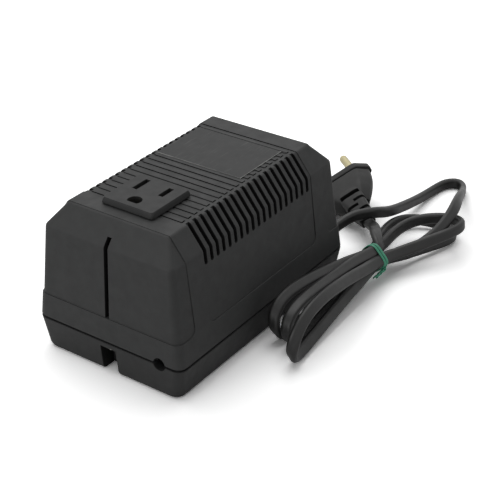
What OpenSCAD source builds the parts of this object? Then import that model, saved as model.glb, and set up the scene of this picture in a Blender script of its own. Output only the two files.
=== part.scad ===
// Travel voltage converter: a vented two-shell case with a grounded outlet in its roof,
// an autotransformer inside, and a flat mains flex tied into a hank with a two-pin plug.
// Millimetres. X runs to the right, Y to the rear and Z up; the case stands on Z = 0.

/* [Case] */
// Width of the case at the parting line
case_w = 76; // [74:0.5:84]
// Length of the case at the parting line
case_l = 120.4; // [118:0.4:130]
// Height of the parting line
parting_z = 15.2; // [14.6:0.2:17]
// Height of the shoulder where the roof slopes begin
shoulder_z = 58; // [57:0.5:60]
// Height of the roof
top_z = 67.8; // [66:0.2:72]
// Distance of the shoulder in from each side of the case
shoulder_in = 4.6; // [4:0.1:5.5]
// Distance of the shoulder in from each end of the case
shoulder_end_in = 3.4; // [3:0.1:4.5]
// Distance of the roof's edge in from each side of the case
top_in = 12; // [11:0.1:13]
// Distance of the roof's edge in from each end of the case
top_end_in = 11.4; // [10:0.1:12]
// Distance of the tray's foot in from each side of the case
floor_in = 2.4; // [1:0.1:3]
// Distance of the tray's foot in from each end of the case
floor_end_in = 1; // [0.5:0.1:2]
// Thickness of the shell walls
wall = 2.2; // [1.8:0.1:2.4]
// Thickness of the tray's floor
floor_t = 2.5; // [2:0.1:3]
// Radius of the upright corners
corner_r = 4; // [3:0.5:6]
// Radius of the shoulder edges
shoulder_r = 2.5; // [2:0.5:5]
// Radius of the roof edges
roof_r = 2; // [1.5:0.5:3]
// Radius of the edge round the tray's underside
tray_edge_r = 2; // [1:0.2:3]
// Open shadow line between the two shells
parting_gap = 0.7; // [0.3:0.1:1]

/* [Raised frame] */
// Depth of the sunk panels below the raised frame at the case's foot
panel_depth = 0.5; // [0.3:0.1:0.8]
// Depth of the sunk panels at the shoulder and on the roof
roof_depth = 0.25; // [0.15:0.05:0.5]
// Height of the raised band round the foot of the cover
band_z = 26.4; // [24:0.2:30]
// Length of the sunk middle panel between the two straps
middle_l = 77.8; // [74:0.2:80]
// Width of each strap over the cover
strap_w = 9.1; // [7:0.1:10]
// Radius of the panels' lower corners
panel_r = 3.5; // [2:0.5:5]

/* [Vents and ribs] */
// Spacing of the vent slots and the roof ribs
vent_pitch = 4; // [3.6:0.1:5]
// Width of a vent slot
vent_w = 1.9; // [1.4:0.1:2.4]
// Least distance from a strap to the first slot
vent_margin = 1.9; // [1.5:0.1:3]
// Height of the lower ends of the slots
vent_z = 51.7; // [48:0.1:56]
// Distance from the roof's side edge to the slots' upper ends
vent_reach = 1.3; // [0.2:0.1:1.5]
// Width of a roof rib
rib_w = 2; // [1.4:0.1:2.4]
// Length of the roof ribs
rib_l = 46; // [40:0.5:47]
// Width of the slit in each end panel
slit_w = 2; // [1:0.2:3]
// Height of the upper end of the end slits
slit_z = 61.4; // [58:0.2:63]

/* [Case screws] */
// Distance of the case screws from the tray's ends
screw_in = 4.7; // [4.5:0.1:5]
// Radius of a screw's shank
screw_r = 1.4; // [1.2:0.05:1.6]
// Radius of a screw's head
screw_head_r = 3; // [2.6:0.1:3.2]
// Height of a screw's head
screw_head_h = 2.2; // [1.8:0.1:2.6]
// Length of a case screw under its head
screw_l = 12; // [10:0.5:12]
// Width of the screw pockets in the tray's ends
pocket_w = 8; // [7.4:0.2:10]
// Height of the screw pockets
pocket_z = 12.3; // [11.5:0.1:12.6]

/* [Outlet] */
// Gap between the outlet's housing and the transformer behind it
outlet_gap = 1.4; // [1:0.1:2]
// Width of the outlet's face
outlet_w = 25.2; // [24:0.1:26]
// Length of the outlet's face
outlet_l = 23.6; // [23:0.1:25]
// Height of the outlet's face above the roof
outlet_h = 3; // [2:0.1:4]
// Slope of the face's sides, as the foot's extra width on each side
outlet_draft = 0.8; // [0.5:0.1:2]
// Distance between the two blade slots
blade_gap = 12.7; // [12.7:0.1:12.9]
// Distance from the slots' line to the ground hole
ground_off = 11.9; // [11.9:0.1:12]
// Distance from the outlet's centre back to the slots' line
slot_off = 4.8; // [4.5:0.1:5]
// Width of a blade slot
slot_w = 2.4; // [2:0.1:2.8]
// Length of the wider blade slot
neutral_l = 9; // [8.6:0.1:9.2]
// Length of the narrower blade slot
line_l = 7.4; // [7:0.1:8]
// Radius of the ground hole
ground_r = 3.1; // [2.9:0.05:3.2]
// Depth of the outlet's housing under the roof
housing_h = 20; // [18:0.5:20]

/* [Transformer] */
// Height of the lamination stack
core_h = 47.5; // [45:0.5:48]
// Room between the lamination stack's side and the line of the flex
core_gap = 11; // [10.5:0.1:13]
// Gap between the strap's feet and the screw pockets
foot_gap = 1.1; // [0.8:0.1:2]
// Slack between the coil and the stack's outer legs
coil_slack = 1.2; // [1:0.1:2]
// Distance of the transformer behind the middle of the case
core_back = 11; // [10.6:0.1:11]
// Height of the pads that carry the transformer above the tray's floor
pad_h = 3; // [2.6:0.2:4]
// Thickness of the strap over the core
bracket_t = 1; // [0.8:0.1:1.2]
// Length of the strap's feet
foot_l = 8.5; // [8:0.1:9]
// Gap between the core's middle leg and the coil former
former_gap = 0.3; // [0.1:0.05:0.4]
// Thickness of the coil former's walls
former_t = 1; // [0.8:0.1:1.2]
// Thickness of the winding
coil_t = 6.4; // [5:0.1:6.6]
// Thickness of the tape round the coil
tape_t = 0.6; // [0.3:0.1:0.8]

/* [Mains flex] */
// Width of the flat flex
flex_w = 5.4; // [5:0.1:5.4]
// Thickness of the flat flex
flex_t = 3.4; // [3:0.1:3.4]
// Distance of the flex's hole in from the right side of the case
hole_in = 11; // [10.8:0.1:11.2]
// Radius of the flex's hole, and of the spare one in front
hole_r = 2.95; // [2.9:0.05:3.2]
// Length of sheath inside the case
sheath_in = 14; // [13:0.5:14.5]
// Radius of an inner wire
wire_r = 0.9; // [0.7:0.05:0.95]
// Spacing of the flex's passes under the tie, side by side
pass_pitch = 5.9; // [5.9:0.05:6]
// Distance between the layers of passes under the tie
layer_gap = 4; // [3.9:0.05:4.1]
// Width of the tie
tie_w = 3; // [2:0.5:4]
// Thickness of the tie
tie_t = 0.7; // [0.5:0.1:1]

/* [Plug] */
// Width of the plug's face
plug_w = 34.5; // [34:0.1:36]
// Thickness of the plug's face
plug_t = 12.8; // [12.4:0.1:13]
// Thickness of the flange behind the face
flange_t = 4.5; // [4:0.1:5]
// Length of the plug from its face to the end of its bend relief
plug_l = 42; // [41.8:0.1:42.2]
// Radius of a pin
pin_r = 2; // [2:0.05:2.4]
// Length of a pin
pin_l = 19; // [18:0.1:19.5]
// Distance between the pins
pin_gap = 18.6; // [17.5:0.1:19]

/* [Hidden] */

big = 200;
thin = 0.01;
fit = 0.05;
shell_fn = 24;
round_fn = 48;

shoulder_w = case_w - 2 * shoulder_in;
shoulder_l = case_l - 2 * shoulder_end_in;
top_w = case_w - 2 * top_in;
top_l = case_l - 2 * top_end_in;
floor_w = case_w - 2 * floor_in;
floor_l = case_l - 2 * floor_end_in;
seat_z = parting_z - 0.2;
band_inset = 0.6;
lip_t = 1.2;
lip_h = 3;
middle_half = middle_l / 2;
strap_half = middle_half + strap_w;
vent_last = floor((middle_half - vent_w / 2 - vent_margin) / vent_pitch);
vent_ys = [for (i = [-vent_last : vent_last]) i * vent_pitch];
screw_y = case_l / 2 - screw_in;
pilot_r = screw_r + fit;
boss_r = screw_r + 2;
boss_top = band_z - 1;

face_lap_w = 1.6;
face_lap_l = 1.3;
housing_w = outlet_w - 2 * face_lap_w;
housing_l = outlet_l - 2 * face_lap_l;
ground_flat = 1.9;
contact_t = 0.6;
cell_floor = top_z - housing_h + 4;
tail_z = top_z - housing_h - 4;

hole_right = case_w / 2 - hole_in;
pocket_in = screw_y - screw_head_r - 0.2;
core_t = 2 * (hole_right - core_gap);
core_l = 2 * (pocket_in - wall - foot_gap - foot_l - bracket_t - core_back);
window_w = former_gap + former_t + coil_t + tape_t + coil_slack;
leg_w = (core_l - 2 * window_w) / 4;
outlet_y = core_back - core_l / 2 - bracket_t - outlet_gap - housing_l / 2;
slot_y = outlet_y + slot_off;
ground_y = slot_y - ground_off;
core_z = floor_t + pad_h;
window_h = core_h - 2 * leg_w;
window_z = core_z + leg_w;
middle_leg = 2 * leg_w;
former_y = leg_w + former_gap;
former_x = core_t / 2 + former_gap;
coil_r = 3;
coil_in = former_t;
coil_out = former_t + coil_t;
tape_out = coil_out + tape_t;
flange_out = tape_out + 0.6;
coil_low = window_z + 0.4 + former_t;
coil_high = window_z + window_h - 0.4 - former_t;
coil_face = former_x + tape_out;
strap_half_w = core_t / 2 - 1;
foot_y = core_l / 2 + bracket_t + foot_l / 2;

clamp_y = case_l / 2 - wall - 8;
clamp_screw_x = 5;
clamp_screw_r = 1;
clamp_t = 2.4;
clamp_half = 6.6;
flex_top = parting_z + flex_w / 2;
flex_low = parting_z - flex_w / 2;

// Hank: middle, heading and lean of the bundle where the tie draws it in
tie_at = [52, 65.4, 10.8];
tie_heading = 76;
tie_lean = 46;
tie_lead = 4.4;
end_lead = 1.5;
// Column and layer of each pass of the flex under the tie
PASS_COLUMN = [1, 1, -1, -1, 1, -1];
PASS_LAYER = [0, 1, 0, -1, -1, 1];
tie_dir = [cos(tie_heading), sin(tie_heading), 0];
tie_side = [sin(tie_heading), -cos(tie_heading), 0];
up = [0, 0, 1];
layer_dir = cos(tie_lean) * tie_side + sin(tie_lean) * up;
pass_dir = sin(tie_lean) * tie_side - cos(tie_lean) * up;
// Loops of the hank, left and right of the tie in turn:
// far end, half opening on the way out and on the way back, lean of the loop, lean of the flex in it
LOOPS = [
    [[60.5, -16.5, 9.5], -4.5, -17.5, 84, 36],
    [[69.5, 111, 14.2], 5, 19.5, 14, 5],
    [[44.5, -6, 10.5], 11, 9, 99, 59],
    [[61, 119.5, 3.4], -22.5, -4, 0, 10],
    [[52, -7.5, 10.5], -7, -7.5, 95, 79]
];
gather = 0.2;
loop_rings = 24;
loop_sides = 6;
hank_smooth = 3;
flex_sides = 8;
wire_sides = 8;

// Plug: middle of its face, heading of its pins, dip of the pins and roll about them
plug_at = [0.5, 116.5, 11];
plug_heading = 141;
plug_dip = 1;
plug_roll = 28;
plug_dir = [cos(plug_heading) * cos(plug_dip), sin(plug_heading) * cos(plug_dip), -sin(plug_dip)];
relief_end = plug_at - plug_l * plug_dir;
pin_root_r = pin_r - 0.5;
pin_root_l = flange_t + 6;

// Free flex from its hole to the hank: x, y, z and the lean of its wide side from upright
hole_at = [hole_right, case_l / 2, parting_z];
TAIL_ROUTE = [
    [28, 73, 16.7, 0], [31, 80, 18.6, 0], [34.8, 85.6, 18.6, 0], [37.2, 91.6, 17.3, 0],
    [37.3, 102.4, 12.8, 0], [36.5, 118.8, 8, 0], [36, 138, 4, 0], [36.5, 152, 2.9, 0],
    [38.5, 160, 2.9, 0], [43.5, 163.5, 2.9, 0], [48, 160, 3.2, 0], [51.5, 152, 5.5, 0],
    [57.5, 138, 12, 0], [62.5, 125.5, 17.6, 15], [66.4, 115, 20.4, 40], [68.2, 107.5, 20, 60],
    [68, 102, 17.2, 60], [66.8, 97, 14.2, 55], [64.8, 92, 11.8, 50], [62.2, 85.5, 9.6, 46],
    [59.4, 79, 9, 46], [56.5, 73, 9.2, 46]
];
// Free flex from the plug to the hank, in the same terms
PLUG_ROUTE = [
    [38, 84.8, 13.8, -66], [41.5, 80.8, 15.8, -76], [44.5, 77, 17, -90], [47.2, 73.2, 17.7, -104],
    [50.2, 69.6, 17.4, -120]
];

function unit(v) = v / norm(v);
function mix(a, b, t) = a + (b - a) * t;
function square_to(v, t) = unit(v - (v * t) * t);

// One smooth curve through all points, with k steps between two of them
function curve_at(a, b, c, d, t) =
    0.5 * (2 * b + (c - a) * t + (2 * a - 5 * b + 4 * c - d) * t * t + (3 * b - a - 3 * c + d) * t * t * t);
function curve(p, k) = let (n = len(p)) [
    for (i = [0 : n - 2], s = [0 : k - 1])
        curve_at(i > 0 ? p[i - 1] : 2 * p[0] - p[1], p[i], p[i + 1],
            i < n - 2 ? p[i + 2] : 2 * p[n - 1] - p[n - 2], s / k),
    p[n - 1]
];
function places(rows) = [for (r = rows) [r[0], r[1], r[2]]];
function tangents(p) = let (n = len(p)) [
    for (i = [0 : n - 1]) unit(p[min(i + 1, n - 1)] - p[max(i - 1, 0)])
];
// Direction of the wide side at each row: upright, turned by the row's lean
function leaned(rows, ref) = let (p = places(rows), t = tangents(p)) [
    for (i = [0 : len(p) - 1])
        let (u = square_to(ref, t[i]))
        u * cos(rows[i][3]) + cross(t[i], u) * sin(rows[i][3])
];
function smoothed(v, times) = times == 0 ? v : smoothed([
    for (i = [0 : len(v) - 1])
        i < 2 || i > len(v) - 3 ? v[i] : (v[i - 1] + 2 * v[i] + v[i + 1]) / 4
], times - 1);

// Loops of the hank
function pass_at(i) = tie_at + layer_dir * layer_gap * PASS_LAYER[i]
    + pass_dir * pass_pitch / 2 * PASS_COLUMN[i];
function mouth_at(k, i) = pass_at(i) + tie_dir * tie_lead * (k % 2 == 0 ? -1 : 1);
function loop_axis(k) = LOOPS[k][0] - (mouth_at(k, k) + mouth_at(k, k + 1)) / 2;
function loop_side(k) = let (s = unit(cross(up, loop_axis(k)))) s * tie_side < 0 ? -s : s;
function loop_up(k) = let (s = unit(cross(loop_axis(k), loop_side(k)))) s.z < 0 ? -s : s;
function loop_point(k, a) = let (
        axis = loop_axis(k),
        lean = LOOPS[k][3],
        near = pow(cos(180 * a), 2),
        opening = mix(LOOPS[k][1], LOOPS[k][2], (1 - cos(180 * a)) / 2) * (1 - gather * near),
        blunt = max(0, min(0.4, 0.5 - abs(LOOPS[k][1] + LOOPS[k][2]) / norm(axis))),
        out = sin(180 * a) * (1 + blunt * near),
        across = cos(lean) * loop_side(k) + sin(lean) * loop_up(k)
    ) mix(mouth_at(k, k), mouth_at(k, k + 1), a) + axis * out + across * sin(360 * a) * opening;
function loop_wide(k, a) = let (
        lean = LOOPS[k][4],
        spread = min(1, 1.5 * sin(180 * a))
    ) unit(mix(pass_dir, sin(lean) * loop_side(k) - cos(lean) * loop_up(k), spread));
last_loop = len(LOOPS) - 1;
loop_steps = [for (k = [0 : last_loop], s = [0 : loop_rings]) [k, s / loop_rings]];
hank_start = pass_at(0) + tie_dir * tie_lead;
hank_end = pass_at(last_loop + 1) + tie_dir * end_lead;
half_lead = tie_dir * tie_lead / 2;
hank_path = smoothed(concat(
    [hank_start, hank_start - half_lead],
    [for (s = loop_steps) loop_point(s[0], s[1])],
    [hank_end - half_lead, hank_end]), hank_smooth);
hank_wide = smoothed(concat(
    [pass_dir, pass_dir],
    [for (s = loop_steps) loop_wide(s[0], s[1])],
    [pass_dir, pass_dir]), hank_smooth);

// Least gap of the hank to itself, measured between its rings
hank_t = tangents(hank_path);
hank_w = [for (i = [0 : len(hank_path) - 1]) square_to(hank_wide[i], hank_t[i])];
function reach(i, d) = norm([flex_w / 2 * (d * hank_w[i]), flex_t / 2 * (d * cross(hank_t[i], hank_w[i]))]);
ring_skip = 8;
hank_gap = min([
    for (i = [0 : len(hank_path) - 1 - ring_skip], j = [i + ring_skip : len(hank_path) - 1])
        let (d = hank_path[j] - hank_path[i], u = unit(d)) norm(d) - reach(i, u) - reach(j, u)
]);
echo(least_gap_of_the_hank_to_itself = hank_gap);

tail_rows = curve(concat(
    [for (y = [-sheath_in, -2, 5.8]) [hole_at.x, hole_at.y + y, hole_at.z, 0]],
    TAIL_ROUTE,
    [[for (i = [0 : 3]) i < 3 ? hank_start[i] : tie_lean]]), 2);
plug_rows = curve(concat(
    [for (s = [0, 2]) [for (i = [0 : 3]) i < 3 ? (relief_end - s * plug_dir)[i] : plug_roll - 90]],
    PLUG_ROUTE,
    [[for (i = [0 : 3]) i < 3 ? hank_end[i] : tie_lean - 180]]), 2);

// Shared shapes

module rounded(w, l, r) {
    square([w - 2 * r, l], center = true);
    square([w, l - 2 * r], center = true);
    for (x = [-1, 1], y = [-1, 1])
        translate([x * (w / 2 - r), y * (l / 2 - r)]) circle(r, $fn = round_fn);
}

module corner_discs(w, l, r, z) {
    for (x = [-1, 1], y = [-1, 1])
        translate([x * (w / 2 - r), y * (l / 2 - r), z]) cylinder(r = r, h = thin, $fn = shell_fn);
}

module corner_balls(w, l, r, z) {
    for (x = [-1, 1], y = [-1, 1])
        translate([x * (w / 2 - r), y * (l / 2 - r), z]) sphere(r, $fn = shell_fn);
}

// Outer form of the cover, moved in by one depth at its foot and by another at its shoulder and roof
module cover_form(low, high) {
    hull() {
        corner_discs(case_w - 2 * low, case_l - 2 * low, corner_r, parting_z + parting_gap / 2);
        corner_balls(shoulder_w - 2 * high, shoulder_l - 2 * high, shoulder_r,
            shoulder_z - shoulder_r * 0.4);
        corner_balls(top_w + roof_r - 2 * high, top_l + roof_r - 2 * high, roof_r,
            top_z - roof_r - high);
    }
}

module cover_cavity() {
    inner_r = corner_r - wall / 2;
    hull() {
        corner_discs(case_w - 2 * wall, case_l - 2 * wall, inner_r, 0);
        corner_discs(case_w - 2 * wall, case_l - 2 * wall, inner_r, parting_z);
        corner_discs(shoulder_w - 2 * wall, shoulder_l - 2 * wall, inner_r, shoulder_z - wall / 2);
        corner_discs(top_w - 2 * wall, top_l - 2 * wall, inner_r, top_z - roof_depth - wall);
    }
}

// The band and the straps that stand proud, seen from the side
module raised_frame() {
    rotate([90, 0, 90]) translate([0, 0, -big / 2]) linear_extrude(big) difference() {
        square(2 * big, center = true);
        translate([0, band_z + big / 2]) rounded(middle_l, big, panel_r);
        for (y = [-1, 1])
            translate([y * (strap_half + big / 2), band_z + big / 2]) rounded(big, big, panel_r);
    }
}

module vent_slots() {
    for (side = [0, 1]) mirror([side, 0, 0])
        for (y = vent_ys) translate([top_w / 2 - vent_reach, y, vent_z + vent_w / 2]) {
            rotate([0, 90, 0]) cylinder(d = vent_w, h = big, $fn = round_fn);
            translate([0, -vent_w / 2, 0]) cube([big, vent_w, big]);
        }
}

module end_slits() {
    for (end = [0, 1]) mirror([0, end, 0])
        translate([-slit_w / 2, -big - top_l / 2 - 2, band_z]) cube([slit_w, big, slit_z - band_z]);
}

module flex_holes() {
    translate([hole_right, 0, parting_z]) rotate([90, 0, 0])
        cylinder(r = hole_r, h = big, center = true, $fn = round_fn);
}

module screw(r, l, head_r, head_h) {
    cylinder(r = r, h = l, $fn = round_fn);
    difference() {
        intersection() {
            translate([0, 0, -head_h]) cylinder(r = head_r, h = head_h, $fn = round_fn);
            translate([0, 0, 2 * head_r - head_h]) sphere(2 * head_r, $fn = round_fn);
        }
        for (turn = [0, 90]) rotate(turn)
            translate([-head_r * 0.6, -0.4, -head_h - 1]) cube([head_r * 1.2, 0.8, head_h]);
    }
}

// A tube with an oval section swept along a path
module tube(path, wide, w, t, sides) {
    n = len(path);
    along = tangents(path);
    rings = [
        for (i = [0 : n - 1])
            let (a = square_to(wide[i], along[i]), b = cross(along[i], a))
            for (s = [0 : sides - 1])
                let (turn = 360 * (s + 0.5) / sides)
                path[i] + a * w / 2 * cos(turn) + b * t / 2 * sin(turn)
    ];
    skin = [
        for (i = [0 : n - 2], s = [0 : sides - 1])
            let (a = i * sides + s, b = i * sides + (s + 1) % sides)
            each [[a, b + sides, b], [a, a + sides, b + sides]]
    ];
    near = [for (s = [1 : sides - 2]) [0, s, s + 1]];
    last = (n - 1) * sides;
    far = [for (s = [1 : sides - 2]) [last, last + s + 1, last + s]];
    polyhedron(points = rings, faces = concat(skin, near, far));
}

module wire(points, ref) {
    path = curve(points, 3);
    tube(path, [for (p = path) ref], 2 * wire_r, 2 * wire_r, wire_sides);
}

// Case

module cover() {
    color([0.2, 0.2, 0.2]) {
        difference() {
            union() {
                cover_form(panel_depth, roof_depth);
                intersection() {
                    cover_form(0, 0);
                    raised_frame();
                }
                for (y = vent_ys)
                    translate([-rib_l / 2, y - rib_w / 2, top_z - roof_depth - 1])
                        cube([rib_l, rib_w, roof_depth + 1]);
            }
            cover_cavity();
            vent_slots();
            end_slits();
            flex_holes();
            translate([-housing_w / 2 - 0.3, outlet_y - housing_l / 2 - 0.3, top_z - wall - 5])
                cube([housing_w + 0.6, housing_l + 0.6, big]);
        }
        for (end = [0, 1]) mirror([0, end, 0]) translate([0, -screw_y, seat_z]) difference() {
            cylinder(r = boss_r, h = boss_top - seat_z, $fn = round_fn);
            translate([0, 0, -1]) cylinder(r = pilot_r, h = screw_l, $fn = round_fn);
        }
    }
}

module tray_form() {
    hull() {
        corner_discs(floor_w - 2 * tray_edge_r, floor_l - 2 * tray_edge_r, corner_r, 0);
        corner_discs(floor_w - 0.6 * tray_edge_r, floor_l - 0.6 * tray_edge_r, corner_r, 0.3 * tray_edge_r);
        corner_discs(floor_w, floor_l, corner_r, tray_edge_r);
        corner_discs(case_w, case_l, corner_r, parting_z - parting_gap / 2 - thin);
    }
}

module tray_cavity() {
    inner_r = corner_r - wall / 2;
    rim = wall + band_inset + lip_t;
    hull() {
        corner_discs(floor_w - 2 * wall, floor_l - 2 * wall, inner_r, floor_t);
        corner_discs(case_w - 2 * rim, case_l - 2 * rim, inner_r, parting_z);
    }
}

module tray_lip() {
    lip_w = case_w - 2 * wall - 2 * band_inset;
    lip_l = case_l - 2 * wall - 2 * band_inset;
    difference() {
        translate([0, 0, parting_z - 3]) linear_extrude(lip_h + 3) difference() {
            rounded(lip_w, lip_l, corner_r);
            rounded(lip_w - 2 * lip_t, lip_l - 2 * lip_t, corner_r - lip_t);
        }
        translate([-boss_r - 1, -big / 2, seat_z]) cube([2 * boss_r + 2, big, big]);
    }
}

module base_tray() {
    edge = tray_edge_r / 2;
    post_r = 2.3;
    post_h = flex_top - 1.5;
    color([0.21, 0.21, 0.21]) difference() {
        union() {
            difference() {
                tray_form();
                tray_cavity();
            }
            tray_lip();
            for (end = [0, 1]) mirror([0, end, 0])
                translate([-pocket_w / 2 - wall, -floor_l / 2 + edge, edge])
                    cube([pocket_w + 2 * wall, floor_l / 2 - edge - pocket_in + wall, seat_z - edge]);
            for (y = [-1, 1]) {
                translate([0, core_back + y * foot_y, 1])
                    cylinder(r = boss_r, h = core_z - 1, $fn = round_fn);
                translate([-core_t / 2, core_back + y * core_l / 4 - 1.5, 1]) cube([core_t, 3, core_z - 1]);
            }
            translate([hole_right - 3, clamp_y - 1.5, 1]) cube([6, 3, flex_low - 1]);
            for (x = [-1, 1])
                translate([hole_right + x * clamp_screw_x, clamp_y, 1])
                    cylinder(r = post_r, h = post_h, $fn = round_fn);
        }
        flex_holes();
        for (end = [0, 1]) mirror([0, end, 0]) {
            translate([-pocket_w / 2, -big - pocket_in, -1]) cube([pocket_w, big, pocket_z + 1]);
            translate([0, -screw_y, 0]) cylinder(r = screw_r + 0.4, h = big, $fn = round_fn);
        }
        for (y = [-1, 1])
            translate([0, core_back + y * foot_y, 1.2]) cylinder(r = pilot_r, h = big, $fn = round_fn);
        for (x = [-1, 1])
            translate([hole_right + x * clamp_screw_x, clamp_y, flex_low - 4])
                cylinder(r = clamp_screw_r + fit, h = big, $fn = round_fn);
    }
}

module case_screws() {
    color([0.72, 0.7, 0.66])
        for (end = [0, 1]) mirror([0, end, 0]) translate([0, -screw_y, pocket_z])
            screw(screw_r, screw_l, screw_head_r, screw_head_h);
}

module rating_label() {
    label_w = 44;
    label_l = 30;
    label_t = 0.2;
    label_y = 5;
    color([0.3, 0.31, 0.31]) translate([-rib_l / 2 - 0.3, label_y, top_z])
        cube([label_w, label_l, label_t]);
}

// Outlet

module at_slots() {
    for (side = [-1, 1]) translate([side * blade_gap / 2, slot_y, 0]) children();
}

module outlet_face() {
    color([0.25, 0.25, 0.25]) difference() {
        hull() {
            translate([0, outlet_y, 0]) {
                corner_discs(outlet_w + 2 * outlet_draft, outlet_l + 2 * outlet_draft, 1.2, top_z);
                corner_discs(outlet_w + outlet_draft, outlet_l + outlet_draft, 1.2, top_z + outlet_h - 1);
                corner_discs(outlet_w, outlet_l, 1.2, top_z + outlet_h - thin);
            }
        }
        translate([-blade_gap / 2 - slot_w / 2, slot_y - neutral_l / 2, 0]) cube([slot_w, neutral_l, big]);
        translate([blade_gap / 2 - slot_w / 2, slot_y - line_l / 2, 0]) cube([slot_w, line_l, big]);
        intersection() {
            translate([0, ground_y, 0]) cylinder(r = ground_r, h = big, $fn = round_fn);
            translate([-big / 2, ground_y - ground_flat, 0]) cube(big);
        }
    }
}

module outlet_housing() {
    cell_w = 5.6;
    cell_l = neutral_l + 1.2;
    tail_w = 0.7;
    color([0.1, 0.1, 0.1]) difference() {
        union() {
            translate([-housing_w / 2, outlet_y - housing_l / 2, top_z - housing_h])
                cube([housing_w, housing_l, housing_h]);
            for (side = [0, 1]) mirror([side, 0, 0])
                translate([housing_w / 2, outlet_y + 3, 0]) rotate([90, 0, 0])
                    linear_extrude(6) polygon([
                        [-0.5, top_z - wall - roof_depth - 0.3],
                        [1.2, top_z - wall - roof_depth - 0.3],
                        [0, top_z - wall - 5],
                        [-0.5, top_z - wall - 5]
                    ]);
        }
        at_slots() translate([-cell_w / 2, -cell_l / 2, cell_floor]) cube([cell_w, cell_l, big]);
        at_slots() translate([-tail_w / 2 - fit, -2 - fit, 0]) cube([tail_w + 2 * fit, 4 + 2 * fit, big]);
        translate([0, ground_y, cell_floor]) cylinder(r = ground_r + 0.5, h = big, $fn = round_fn);
        translate([-2 - fit, ground_y - tail_w / 2 - fit, 0]) cube([4 + 2 * fit, tail_w + 2 * fit, big]);
    }
}

module blade_contact(l) {
    color([0.8, 0.62, 0.3]) {
        translate([-slot_w / 2 - contact_t, -l / 2, cell_floor]) difference() {
            cube([slot_w + 2 * contact_t, l, top_z - cell_floor - 2]);
            translate([contact_t, -1, contact_t]) cube([slot_w, l + 2, big]);
        }
        translate([-0.35, -2, tail_z]) cube([0.7, 4, cell_floor - tail_z + 0.3]);
    }
}

module line_contact() {
    translate([blade_gap / 2, slot_y, 0]) blade_contact(line_l - 0.6);
}

module neutral_contact() {
    translate([-blade_gap / 2, slot_y, 0]) blade_contact(neutral_l - 0.6);
}

module ground_contact() {
    color([0.8, 0.62, 0.3]) translate([0, ground_y, 0]) {
        difference() {
            translate([0, 0, cell_floor])
                cylinder(r = ground_r, h = top_z - cell_floor - 2, $fn = round_fn);
            translate([0, 0, cell_floor + contact_t])
                cylinder(r = ground_r - contact_t, h = big, $fn = round_fn);
            translate([-0.5, -big / 2, cell_floor + 3]) cube([1, big, big]);
        }
        translate([-2, -0.35, tail_z]) cube([4, 0.7, cell_floor - tail_z + 0.3]);
    }
}

// Transformer

module stack(depth) {
    translate([-depth / 2, core_back, core_z]) rotate([90, 0, 90]) linear_extrude(depth) children();
}

module core_e_stack() {
    color([0.45, 0.45, 0.47]) stack(core_t) difference() {
        translate([-core_l / 2, 0]) square([core_l, core_h - leg_w]);
        for (side = [0, 1]) mirror([side, 0])
            translate([middle_leg / 2, leg_w]) square([core_l / 2 - leg_w - middle_leg / 2, big]);
    }
}

module core_i_stack() {
    color([0.5, 0.5, 0.52]) stack(core_t)
        translate([-core_l / 2, core_h - leg_w]) square([core_l, leg_w]);
}

module coil_ring(inner, outer, z0, z1, r) {
    translate([0, core_back, z0]) linear_extrude(z1 - z0) difference() {
        rounded(2 * (former_x + outer), 2 * (former_y + outer), r);
        square([2 * (former_x + inner), 2 * (former_y + inner)], center = true);
    }
}

module coil_former() {
    color([0.85, 0.84, 0.78]) {
        coil_ring(0, former_t, coil_low - former_t, coil_high + former_t, 0.5);
        coil_ring(0, flange_out, coil_low - former_t, coil_low, 1);
        coil_ring(0, flange_out, coil_high, coil_high + former_t, 1);
    }
}

module coil_winding() {
    color([0.72, 0.4, 0.2]) coil_ring(coil_in, coil_out, coil_low, coil_high, coil_r);
}

module coil_tape() {
    color([0.85, 0.7, 0.2])
        translate([0, core_back, coil_low]) linear_extrude(coil_high - coil_low) difference() {
            rounded(2 * (former_x + tape_out), 2 * (former_y + tape_out), coil_r + tape_t);
            rounded(2 * (former_x + coil_out), 2 * (former_y + coil_out), coil_r);
        }
}

module core_strap() {
    half = core_l / 2;
    out = half + bracket_t;
    end = out + foot_l;
    roof = core_h + bracket_t;
    color([0.6, 0.6, 0.62]) difference() {
        stack(2 * strap_half_w) polygon([
            [-end, 0], [-half, 0], [-half, core_h], [half, core_h], [half, 0], [end, 0],
            [end, bracket_t], [out, bracket_t], [out, roof],
            [-out, roof], [-out, bracket_t], [-end, bracket_t]
        ]);
        for (y = [-1, 1])
            translate([0, core_back + y * foot_y, 0])
                cylinder(r = screw_r + 0.4, h = core_z + 5, $fn = round_fn);
    }
}

module core_screws() {
    color([0.7, 0.7, 0.7])
        for (y = [-1, 1]) translate([0, core_back + y * foot_y, core_z + bracket_t]) mirror([0, 0, 1])
            screw(screw_r, core_z + bracket_t - 1.6, screw_head_r, screw_head_h);
}

module thermal_cutout() {
    can_r = 2;
    can_l = 10;
    wire_out = 3;
    color([0.75, 0.73, 0.7])
        translate([-coil_face - can_r - fit, core_back - 9, coil_low + 6]) rotate([-90, 0, 0]) {
            cylinder(r = can_r, h = can_l, $fn = round_fn);
            translate([0, 0, -wire_out]) cylinder(r = 0.5, h = can_l + 2 * wire_out, $fn = round_fn);
        }
}

// Flex inside the case

module flex_clamp() {
    color([0.15, 0.15, 0.15]) translate([hole_right, clamp_y, flex_top]) difference() {
        translate([-clamp_half, -3, 0]) cube([2 * clamp_half, 6, clamp_t]);
        for (x = [-1, 1])
            translate([x * clamp_screw_x, 0, -1]) cylinder(r = 1.2, h = clamp_t + 2, $fn = round_fn);
    }
}

module flex_clamp_screws() {
    color([0.72, 0.7, 0.66])
        for (x = [-1, 1])
            translate([hole_right + x * clamp_screw_x, clamp_y, flex_top + clamp_t]) mirror([0, 0, 1])
                screw(clamp_screw_r, 8, 2.1, 1.4);
}

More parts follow.
